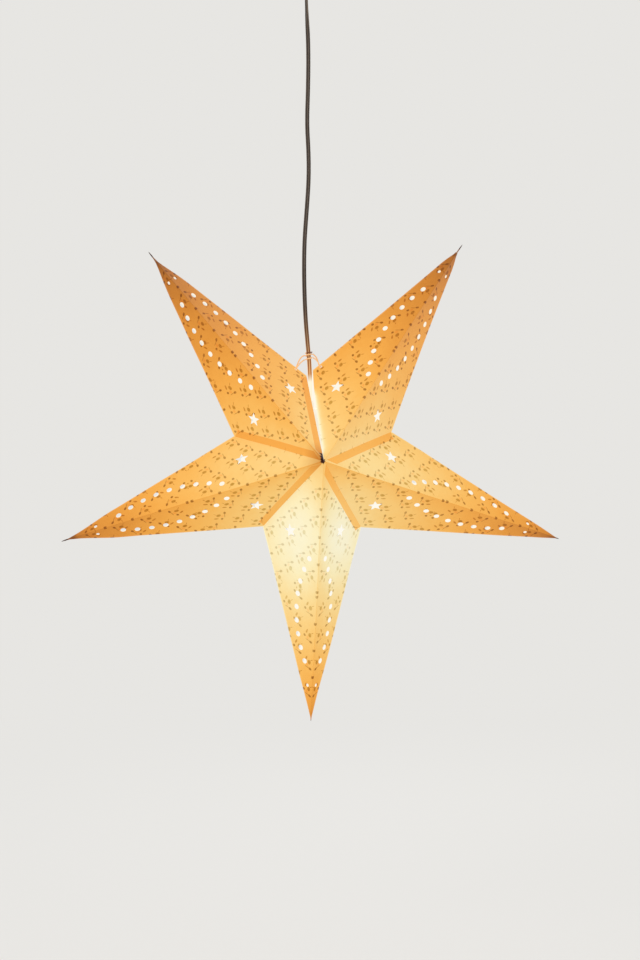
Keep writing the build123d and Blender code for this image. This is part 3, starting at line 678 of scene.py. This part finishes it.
def litInnerPaper():
    material, tree, shader = newMaterial("litInnerPaper")
    share = over(tree, distanceFrom(tree, objectPlace(tree), glow["source"]), inner["reach"], clamp=True)
    feed(tree, shader, {"Emission Color": mixColour(tree, share, inner["near"], inner["far"]),
                        "Emission Strength": inner["emission"], "Base Color": (0.05, 0.045, 0.035, 1),
                        "Roughness": 0.9})
    return material


worn = {"uneven": 0.12, "grain": 0.3, "grainDepth": 0.00005}
lit = {"base": (0.08, 0.075, 0.065, 1), "darker": 0.94, "cloudScale": 30.0, "roughness": 0.35}


def wornFinish(name, colour, roughness, metallic=0.0, spread=0.08, scale=60.0, bumpScale=400.0, coat=0.0):
    # a plain finish with slight clouding, uneven gloss and a fine surface
    material, tree, shader = newMaterial(name)
    place = objectPlace(tree)
    cloud = noiseAt(tree, place, scale, 4.0)[0]
    darker = tuple(c * (1 - spread) for c in colour) + (1,)
    gloss = timesPlus(tree, cloud, worn["uneven"], roughness - worn["uneven"] / 2)
    grain = bumped(tree, noiseAt(tree, place, bumpScale, 2.0)[0], worn["grain"], worn["grainDepth"])
    feed(tree, shader, {"Base Color": mixColour(tree, cloud, darker, (*colour, 1)), "Roughness": gloss,
                        "Metallic": metallic, "Coat Weight": coat, "Normal": grain})
    return material


def litFinish(name, colour, strength):
    # a piece with the bulb's light painted on as a glow, or the bulb itself
    material, tree, shader = newMaterial(name)
    cloud = noiseAt(tree, objectPlace(tree), lit["cloudScale"], 2.0)[0]
    darker = tuple(c * lit["darker"] for c in colour) + (1,)
    feed(tree, shader, {"Emission Color": mixColour(tree, cloud, darker, (*colour, 1)), "Emission Strength": strength,
                        "Base Color": lit["base"], "Roughness": lit["roughness"]})
    return material


paperMaterial, tabMaterial, insideGlowMaterial = printedPaper(), plainPaper(), litInnerPaper()
print("paper materials ready")

# Paper facets and tabs

tabs = {"width": 0.0092, "apexEnd": 0.006, "valleyEnd": 0.002, "apexSlant": 0.0085, "valleySlant": 0.005,
        "lift": 0.00003, "counts": {"Along Count": 14, "Across Count": 3}}
eyelet = {"along": {1: 0.0105, 10: 0.0155}, "in": 0.0034, "frontRadius": 0.0016, "backRadius": 0.0023}
# how much darker each facet is than its distance from the bulb gives
facetShade = {1: 0.0, 2: -0.073, 3: 0.003, 4: 0.033, 5: -0.016, 6: -0.026, 7: 0.018, 8: 0.049, 9: -0.017,
              10: -0.007}
# how much of the painted shade at the crumpled apex each facet gets
crumpled = {6: 0.1, 7: 0.5, 8: 0.7, 9: 1.0, 10: 1.0}
# how pink each facet is, and how far its painted dark apex shade reaches, millimetres
facetBlush = {2: 0.45, 4: 0.1, 10: 0.4}
apexReach = {1: 3.4, 2: 2.4, 3: 2.4, 4: 2.4, 5: 3.0, 6: 4.4, 7: 5.0, 8: 5.2, 9: 6.2, 10: 9.0}
freeTabReach = 12.5
tabShade = {7: -0.05, 9: 0.07, 10: 0.07}  # how much darker these tabs are than their facets
# each point's length of painted dark shade at its spike, where its paper starts to widen and how fast, by its corner
points = {1: (7.7, 0.0106, 0.400), 3: (4.0, 0.0024, 0.282), 5: (2.5, 0.0020, 0.250), 7: (8.5, 0.0065, 0.235),
          9: (8.7, 0.0110, 0.295)}
paperForm = {"narrowed": 0.060, "eased": 0.035, "natural": 0.2537, "spikeHalf": 0.0007, "buckle": 0.0005,
             "buckleScale": 17.0, "calm": 0.060}


def eyeletSpot(number):
    inward = Vector((outerEdge.y, -outerEdge.x))
    return Vector((valleyAlong, valleyOut)) + outerEdge * eyelet["along"][number] + inward * eyelet["in"]


def shapedPoint(place):
    # the paper buckles a little, and each point of the star is pinched into a narrow spike
    middle = Vector((0, 0, star["centre"]))
    tips = {step: rimPoint(step) + moved(cornerShift[step]) - middle for step in points}
    nearest = max(tips, key=lambda step: (place - middle).dot(tips[step].normalized()))
    axis, reach = tips[nearest].normalized(), tips[nearest].length
    out = (place - middle).dot(axis)
    beside = place - middle - axis * out
    left = reach - out
    if 1e-5 < left < paperForm["narrowed"]:
        spike, start, slope = points[nearest]
        pinched = max((left - start) * slope, paperForm["spikeHalf"])
        ease = min(1, (paperForm["narrowed"] - left) / paperForm["eased"])
        beside *= 1 + ease * (min(pinched / (left * paperForm["natural"]), 1) - 1)
    calm = min(1, (place - rimPoint(0)).length / paperForm["calm"])
    wave = noise.noise_vector(place * paperForm["buckleScale"]) * paperForm["buckle"] * calm
    return middle + axis * out + beside + wave


def tabCorners():
    edge = Vector((valleyAlong, valleyOut)).normalized()
    inward = Vector((edge.y, -edge.x))
    gap, width = star["foldGap"], tabs["width"]
    near, far = tabs["apexEnd"], valleyLength - tabs["valleyEnd"]
    return [edge * (near + tabs["apexSlant"]) + inward * width, edge * (far - tabs["valleySlant"]) + inward * width,
            edge * far + inward * gap, edge * near + inward * gap]


def lifted(corner, height):
    return (corner.x, corner.y, height)


def panelValues(outer, inner, top, bottom):
    values = {f"Outer {name}": lifted(c, top) for name, c in zip(cornerNames, outer)}
    values.update({f"Inner {name}": lifted(c, bottom) for name, c in zip(cornerNames, inner)})
    values["Thickness"] = top - bottom
    return values


def placePanel(name, mesh, number, front, replaced, shade=0.0):
    mesh = mesh.copy()
    mesh.name = name
    if facetPlace(number, front).determinant() < 0:
        mesh.flip_normals()
    for vertex in mesh.vertices:
        vertex.co = shapedPoint(paperPoint(number, front, vertex.co))
    paint = (facetShade[number] + shade, 1.0 if number == 1 else 0.0, crumpled.get(number, 0.0))
    reach = freeTabReach if replaced.endswith("tab_5") else apexReach[number]
    spike = points[number if number % 2 else number - 1][0]
    for label, values in (("paint", paint), ("ends", (spike, facetBlush.get(number, 0.0), reach))):
        stored = mesh.attributes.new(label, "FLOAT_VECTOR", "POINT")
        stored.data.foreach_set("vector", list(values) * len(mesh.vertices))
    if mesh.uv_layers:
        mesh.uv_layers.active = mesh.uv_layers[0]
    piece = link(name, mesh)
    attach(piece, f"{'front' if front else 'back'}_{number}")
    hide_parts(replaced)
    return piece


def makePaper():
    tree = buildPanelTree()
    gap, paper = star["foldGap"], star["paper"]
    outer = insetEdges(gap, gap, gap)
    closedRidge = (ridgeAngle - openRidge) / 2
    inner = insetEdges(gap + paper / math.tan(closedRidge), gap + paper / math.tan(outerAngle / 2), gap)
    sheet = panelValues(outer, inner, 0.0, -paper)
    sheet.update({"Outside": paperMaterial, "Inside": insideGlowMaterial})
    strip = tabCorners()
    tabInputs = {f"Tab {name}": lifted(c, -paper / 2) for name, c in zip(cornerNames, strip)}
    plain = geometryMesh(tree, "plainFacet", sheet)
    glued = dict(panelValues(strip, strip, paper + tabs["lift"], tabs["lift"]), **tabs["counts"], Punched=False,
                 Outside=tabMaterial, Inside=tabMaterial)
    free = dict(panelValues(strip, strip, 0.0, -paper), **tabs["counts"], Punched=False, Outside=tabMaterial,
                Inside=insideGlowMaterial)
    gluedTab, freeTab = geometryMesh(tree, "gluedTab", glued), geometryMesh(tree, "freeTab", free)
    for face in ("front", "back"):
        front = face == "front"
        seam = {}
        for number in (1, 10):
            tied = {"Eyelet Place": lifted(eyeletSpot(number), 0), "Eyelet Radius": eyelet[face + "Radius"]}
            if number == 10:
                tied.update(tabInputs, **{"Cut Tab": True})
            seam[number] = geometryMesh(tree, f"seamFacet{number}", {**sheet, **tied})
        for number in range(1, 11):
            placePanel(f"{face}_paper_{number}", seam.get(number, plain), number, front, f"{face}_facet_{number}")
        for tab, number in enumerate((3, 5, 7, 9, 10), 1):
            placePanel(f"{face}_strip_{tab}", freeTab if number == 10 else gluedTab, number, front,
                       f"{face}_tab_{tab}", tabShade.get(number, 0.0))


makePaper()
print("paper ready")

# Flex and string

flex = {"coreRadius": 0.0013, "coreSpacing": 0.0026, "web": 0.0012, "top": -0.018842, "length": 0.5414,
        "bottom": -0.5598, "width": 0.0052, "roseMouth": -0.0392, "steps": 12}
# the flex's line below the rose: millimetres to the right, and up from the star's centre
flexRoute = [(0.6, 542.0), (2.4, 498.0), (1.5, 450.0), (-0.5, 405.0), (1.2, 371.0), (1.1, 338.0),
             (-1.9, 300.0), (-5.2, 262.0), (-6.0, 217.0), (-4.9, 172.0), (-2.4, 139.0), (-0.3, 113.0), (0.05, 87.0)]


def smoothLine(points, name):
    # points along a smooth spline that has the given points as its control points
    curve = bpy.data.curves.new(name, "CURVE")
    curve.dimensions, curve.resolution_u = "3D", 12
    spline = curve.splines.new("NURBS")
    spline.points.add(len(points) - 1)
    for point, place in zip(spline.points, points):
        point.co = (*place, 1)
    spline.order_u, spline.use_endpoint_u = 3, True
    return [v.co.copy() for v in evaluatedMesh(link(name, curve)).vertices]


uvPerMetre = 20


def sweptMesh(name, line, section, firstSide, turnAt):
    # a closed tube with the given section along a line, turned about it by turnAt of the length so far
    made = bmesh.new()
    uv = made.loops.layers.uv.new("UVMap")
    side, travelled, rings, lengths = Vector(firstSide), 0.0, [], []
    for n, here in enumerate(line):
        ahead = (line[min(n + 1, len(line) - 1)] - line[max(n - 1, 0)]).normalized()
        side = (side - ahead * side.dot(ahead)).normalized()
        up = ahead.cross(side)
        if n:
            travelled += (here - line[n - 1]).length
        turn = turnAt(travelled)
        ring = []
        for a, b in section:
            x, y = a * math.cos(turn) - b * math.sin(turn), a * math.sin(turn) + b * math.cos(turn)
            ring.append(made.verts.new(here + side * x + up * y))
        rings.append(ring)
        lengths.append(travelled)
    count = len(section)
    for n in range(len(rings) - 1):
        for k in range(count):
            other = (k + 1) % count
            face = made.faces.new((rings[n][k], rings[n][other], rings[n + 1][other], rings[n + 1][k]))
            face.smooth = True
            for loop, (ringIndex, place) in zip(face.loops, ((n, k), (n, k + 1), (n + 1, k + 1), (n + 1, k))):
                loop[uv].uv = (place / count, lengths[ringIndex] * uvPerMetre)
    made.faces.new(list(reversed(rings[0])))
    made.faces.new(rings[-1])
    bmesh.ops.recalc_face_normals(made, faces=made.faces)
    mesh = bpy.data.meshes.new(name)
    made.to_mesh(mesh)
    made.free()
    return mesh


def twinSection():
    # two round cores joined by a flat web
    radius, apart, web = flex["coreRadius"], flex["coreSpacing"] / 2, flex["web"] / 2
    join = math.asin(web / radius)
    section, steps = [], flex["steps"]
    for side in (1, -1):
        for n in range(steps + 1):
            angle = -math.pi + join + n * (2 * math.pi - 2 * join) / steps
            section.append((side * (apart + radius * math.cos(angle)), side * radius * math.sin(angle)))
    return section


# where a core, the web between them and the clear outer edge show across the flex, and their colours unlit
flexLook = {"coreMiddle": 0.46, "webFrom": 0.345, "outerTo": 0.20, "sharp": 12.0,
            "core": ((0.010, 0.005, 0.002, 1), (0.028, 0.014, 0.007, 1)),
            "sleeve": ((0.085, 0.058, 0.036, 1), (0.15, 0.105, 0.068, 1)), "cloudScale": 90.0}
# the star's light on the flex grows between two heights, and it is brightest inside the star
flexGlow = {"from": -0.420, "full": -0.516, "mouth": -0.517, "inside": -0.527, "power": 2.0,
            "coreLit": (0.36, 0.10, 0.015, 1), "sleeveLit": (0.85, 0.47, 0.18, 1), "bright": (0.95, 0.87, 0.66, 1)}
flexTwist = {"middle": 0.047, "spread": 0.060, "turn": math.radians(70)}


def flexFinish():
    # clear PVC over two dark cores, lit from the star below
    material, tree, shader = newMaterial("flexPvc")
    place = objectPlace(tree)
    around = split(tree, addNode(tree, "ShaderNodeUVMap", uv_map="UVMap").outputs[0])[0]
    height = split(tree, place)[2]
    share = calc(tree, "FRACT", times(tree, around, 2.0))
    side = calc(tree, "ABSOLUTE", minus(tree, share, flexLook["coreMiddle"]))
    web = times(tree, minus(tree, side, flexLook["webFrom"]), flexLook["sharp"], clamp=True)
    outer = times(tree, minus(tree, flexLook["outerTo"], side), flexLook["sharp"], clamp=True)
    clear = calc(tree, "MAXIMUM", web, outer)
    cloud = noiseAt(tree, place, flexLook["cloudScale"], 4.0)[0]
    core, sleeve = (mixColour(tree, cloud, *flexLook[k]) for k in ("core", "sleeve"))
    low = over(tree, minus(tree, flexGlow["from"], height), flexGlow["from"] - flexGlow["full"], clamp=True)
    inside = over(tree, minus(tree, flexGlow["mouth"], height), flexGlow["mouth"] - flexGlow["inside"], clamp=True)
    shine = mixColour(tree, clear, flexGlow["coreLit"], flexGlow["sleeveLit"])
    shine = mixColour(tree, calc(tree, "POWER", low, flexGlow["power"]), (0, 0, 0, 1), shine)
    feed(tree, shader, {"Base Color": mixColour(tree, clear, core, sleeve),
                        "Emission Color": mixColour(tree, inside, shine, flexGlow["bright"]),
                        "Emission Strength": 1.0, "Roughness": 0.42, "Specular IOR Level": 0.3, "Coat Weight": 0.08,
                        "Normal": bumped(tree, noiseAt(tree, place, 500.0, 2.0)[0], 0.2, 0.00005)})
    return material


def flexTurn(travelled):
    # the flex is twisted a little just below the rose
    away = min(1, abs(travelled - flexTwist["middle"]) / flexTwist["spread"])
    return flexTwist["turn"] * (1 + math.cos(math.pi * away)) / 2


def makeFlex():
    route = [(0, 0, flex["top"]), (0, 0, flex["roseMouth"])]
    route += [(x * mm, 0, star["centre"] + height * mm) for x, height in flexRoute]
    route.append((0, 0, flex["bottom"]))
    line = smoothLine(route, "flexLine")
    mesh = sweptMesh("twin_flex", line, twinSection(), (1, 0, 0), flexTurn)
    mesh.materials.append(flexFinish())
    piece = link("twin_flex", mesh)
    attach(piece, "lamp")
    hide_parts("flex")


string = {"radius": 0.0008, "slack": 0.0003, "windingHeight": 0.1203, "windingTurns": 1.5, "windingPitch": 0.0049,
          "tieGap": 0.0006, "tieReach": 0.0026, "shoulder": {"left": (0.0105, 0.0004), "right": (0.0088, 0.0034)},
          "elbow": (0.0046, 0.0028), "shoulderBack": 0.0025, "plies": 3, "turnsPerMetre": 260.0,
          "knotFrom": 0.1268, "knotReach": 0.0052, "knotTurn": 1.25, "knotPitch": 0.0023, "knotEnd": 2.5,
          "knotSharp": 900.0, "windingSteps": 100, "step": 0.0004, "lobe": 0.20}


def stringFinish():
    material, tree, shader = newMaterial("cottonString")
    place = objectPlace(tree)
    fibre = noiseAt(tree, place, 2600.0, 3.0)[0]
    # the warm colour and the faint glow are the star's light painted on the cream cotton
    colour = mixColour(tree, fibre, (0.66, 0.36, 0.14, 1), (0.95, 0.62, 0.32, 1))
    # the knot above the winding is in the shade
    x, _, z = split(tree, place)
    above = times(tree, minus(tree, z, star["centre"] + string["knotFrom"]), string["knotSharp"], clamp=True)
    beside = minus(tree, string["knotReach"], calc(tree, "ABSOLUTE", x))
    knot = times(tree, above, times(tree, beside, string["knotSharp"], clamp=True))
    feed(tree, shader, {"Base Color": tinted(tree, colour, knot, (0.22, 0.12, 0.07)),
                        "Emission Color": tinted(tree, colour, knot, (0.05, 0.02, 0.01)), "Emission Strength": 0.22,
                        "Roughness": 0.9, "Sheen Weight": 0.3, "Normal": bumped(tree, fibre, 0.5, 0.00012)})
    return material


def pliedSection():
    # three plies side by side, as a lobed ring
    count, radius = 8 * string["plies"], string["radius"]
    section = []
    for n in range(count):
        angle = 2 * math.pi * n / count
        lobe = radius * (1 - string["lobe"] + string["lobe"] * abs(math.cos(angle * string["plies"] / 2)))
        section.append((lobe * math.cos(angle), lobe * math.sin(angle)))
    return section


def flexAt(height):
    points = [(x * mm, h * mm) for x, h in flexRoute]
    for (x0, h0), (x1, h1) in zip(points, points[1:]):
        if h0 >= height >= h1:
            return x0 + (x1 - x0) * (h0 - height) / (h0 - h1)
    return 0.0


def windingPoint(turn):
    angle = math.pi + 2 * math.pi * turn
    radius = flex["width"] / 2 + string["slack"] + string["radius"]
    middle = flexAt(string["windingHeight"] + string["windingPitch"] * string["windingTurns"] / 2)
    height = star["centre"] + string["windingHeight"] + string["windingPitch"] * min(turn, string["knotTurn"])
    height += string["knotPitch"] * max(0, turn - string["knotTurn"])
    return Vector((middle + radius * math.cos(angle), radius * math.sin(angle), height))


def denser(line, most):
    # more points where they lie further apart than the twist needs
    dense = [line[0]]
    for start, end in zip(line, line[1:]):
        steps = max(1, math.ceil((end - start).length / most))
        dense += [start.lerp(end, k / steps) for k in range(1, steps + 1)]
    return dense


def makeString(name, line, body, replaced, material):
    mesh = sweptMesh(name, denser(line, string["step"]), pliedSection(), (0.3, 0.9, 0.1),
                     lambda travelled: 2 * math.pi * string["turnsPerMetre"] * travelled)
    mesh.materials.append(material)
    piece = link(name, mesh)
    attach(piece, body)
    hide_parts(replaced)


def makeStrings():
    material = stringFinish()
    steps = string["windingSteps"]
    turns = [windingPoint(string["knotEnd"] * n / steps) for n in range(steps + 1)]
    makeString("string_winding", turns, "lamp", "tie_winding", material)
    for name, side, number, turn, body in (("left", -1, 10, 0, "front_10"), ("right", 1, 1, 0.5, "lamp")):
        place, spot = facetPlace(number, True), eyeletSpot(number)
        hole = paperPoint(number, True, (spot.x, spot.y, 0))
        out = place.to_3x3() @ Vector((0, 0, 1))
        outside = hole + out * string["tieReach"]
        inside = hole - out * (hole.y / out.y)
        behind = Vector((outside.x, -outside.y, outside.z))
        clear = Vector((side * (string["radius"] + string["tieGap"]), 0, 0))
        low, high = windingPoint(turn) + clear, windingPoint(turn + 1) + clear
        (wide, drop), (elbowWide, elbowDrop) = string["shoulder"][name], string["elbow"]
        shoulder = Vector((side * wide, string["shoulderBack"], high.z - drop))
        elbow = Vector((low.x + side * elbowWide, low.y, low.z - elbowDrop))
        line = smoothLine([low, elbow, outside, inside, behind, shoulder, high], f"tieLine{number}")
        makeString(f"string_{name}", line, body, f"tie_{name}", material)


makeFlex()
makeStrings()
print("flex and string ready")

# Finishes of the solids that stay

finishes = {
    "white_plastic": wornFinish("whitePlastic", (0.80, 0.78, 0.73), 0.32, coat=0.2),
    "rose_paint": wornFinish("rosePaint", (0.82, 0.81, 0.78), 0.42, spread=0.05, bumpScale=900.0),
    "white_nylon": wornFinish("whiteNylon", (0.78, 0.77, 0.72), 0.50),
    "zinc_steel": wornFinish("zincSteel", (0.56, 0.57, 0.58), 0.38, metallic=1.0, spread=0.2, scale=150.0),
    "screw_steel": wornFinish("screwSteel", (0.60, 0.60, 0.61), 0.30, metallic=1.0, spread=0.15, scale=300.0),
    "brass": wornFinish("brassFinish", (0.72, 0.50, 0.20), 0.30, metallic=1.0, spread=0.15, scale=120.0),
    "nickel": wornFinish("nickelFinish", (0.72, 0.71, 0.69), 0.26, metallic=1.0, spread=0.1, scale=120.0),
    "solder": wornFinish("solderFinish", (0.55, 0.55, 0.56), 0.35, metallic=1.0, spread=0.2, scale=400.0),
    "porcelain": wornFinish("porcelain", (0.84, 0.83, 0.79), 0.18, coat=0.6),
    "black_glass": wornFinish("blackGlass", (0.02, 0.02, 0.022), 0.15, coat=0.5),
    "core_pvc": wornFinish("corePvc", (0.22, 0.10, 0.06), 0.40),
    "opal_glass": litFinish("opalGlass", (1.0, 0.95, 0.82), 0.88),
    "clear_glass": litFinish("stemGlass", (1.0, 0.92, 0.75), 0.8),
    "filament": litFinish("filamentGlow", (1.0, 0.86, 0.55), 0.95),
}
# the star's own light is painted on the lampholder as a glow
holderGlow = litFinish("holderPlasticGlow", (1.0, 0.93, 0.76), 0.84)
slotOf = {item["node"]: item["material_slot"] for item in frame["record"]["subparts"]}
for nodeName, nodeObject in frame["nodes"].items():
    material = finishes.get(slotOf.get(nodeName))
    if nodeName in ("holder_grip", "holder_cap", "holder_shell"):
        material = holderGlow
    if material and not nodeObject.hide_render:
        nodeObject.data.materials.clear()
        nodeObject.data.materials.append(material)
print("finishes ready")

# Floor and light

studio = {"floor": -1.32, "floorSize": 60.0, "colour": (0.80, 0.79, 0.765), "ambient": 0.72,
          "floorShown": 0.35, "fadeFrom": 0.5, "fadeOver": 2.2, "aim": (0, 0, -0.6),
          "lamps": {"keyLight": ((-1.9, -2.2, 0.7), 34.0, 1.6), "fillLight": ((2.2, -1.6, 0.1), 12.0, 2.0),
                    "backLight": ((0.6, 2.4, 0.9), 22.0, 1.8)}}


def shownRays(tree):
    # the rays that see the backdrop: the camera's, and those in mirrors and glass
    rays = addNode(tree, "ShaderNodeLightPath").outputs
    return calc(tree, "MAXIMUM", rays["Is Camera Ray"], calc(tree, "MAXIMUM", rays["Is Glossy Ray"],
                                                             rays["Is Transmission Ray"]))


def addFloor():
    made = bmesh.new()
    bmesh.ops.create_grid(made, x_segments=1, y_segments=1, size=studio["floorSize"] / 2)
    mesh = bpy.data.meshes.new("floor")
    made.to_mesh(mesh)
    made.free()
    mesh.transform(Matrix.Translation((0, 0, studio["floor"])))
    material, tree, shader = newMaterial("floorFinish")
    feed(tree, shader, {"Base Color": (*studio["colour"], 1), "Roughness": 0.9, "Specular IOR Level": 0.1})
    # part of the floor's colour is the backdrop's, as the camera and mirrors see it
    backdrop = addNode(tree, "ShaderNodeEmission", {0: (*studio["colour"], 1), 1: 1.0})
    away = distanceFrom(tree, objectPlace(tree), (0, 0, studio["floor"]))
    far = over(tree, minus(tree, away, studio["fadeFrom"]), studio["fadeOver"], clamp=True)
    far = addNode(tree, "ShaderNodeMapRange", {0: far, 3: studio["floorShown"], 4: 1.0},
                  interpolation_type="SMOOTHSTEP").outputs[0]
    share = times(tree, shownRays(tree), far)
    mixed = addNode(tree, "ShaderNodeMixShader", {0: share, 1: shader.outputs[0], 2: backdrop.outputs[0]})
    tree.links.new(mixed.outputs[0], tree.nodes["Material Output"].inputs[0])
    mesh.materials.append(material)
    link("floor", mesh)


def addWorld():
    world = bpy.data.worlds.new("studio")
    scene.world = world
    world.use_nodes = True
    tree = world.node_tree
    tree.nodes.clear()
    sky = addNode(tree, "ShaderNodeBackground", {0: (1, 1, 1, 1), 1: studio["ambient"]})
    seen = addNode(tree, "ShaderNodeBackground", {0: (*studio["colour"], 1), 1: 1.0})
    mixed = addNode(tree, "ShaderNodeMixShader", {0: shownRays(tree), 1: sky.outputs[0], 2: seen.outputs[0]})
    tree.links.new(mixed.outputs[0], addNode(tree, "ShaderNodeOutputWorld").inputs[0])


def addLamp(name, place, power, size):
    data = bpy.data.lights.new(name, "AREA")
    data.energy, data.size = power, size
    lamp = link(name, data)
    lamp.location = place
    lamp.rotation_euler = (Vector(studio["aim"]) - Vector(place)).to_track_quat("-Z", "Y").to_euler()


addFloor()
addWorld()
for lampName, (lampPlace, power, size) in studio["lamps"].items():
    addLamp(lampName, lampPlace, power, size)

scene.view_settings.view_transform = "Standard"
print("scene ready")
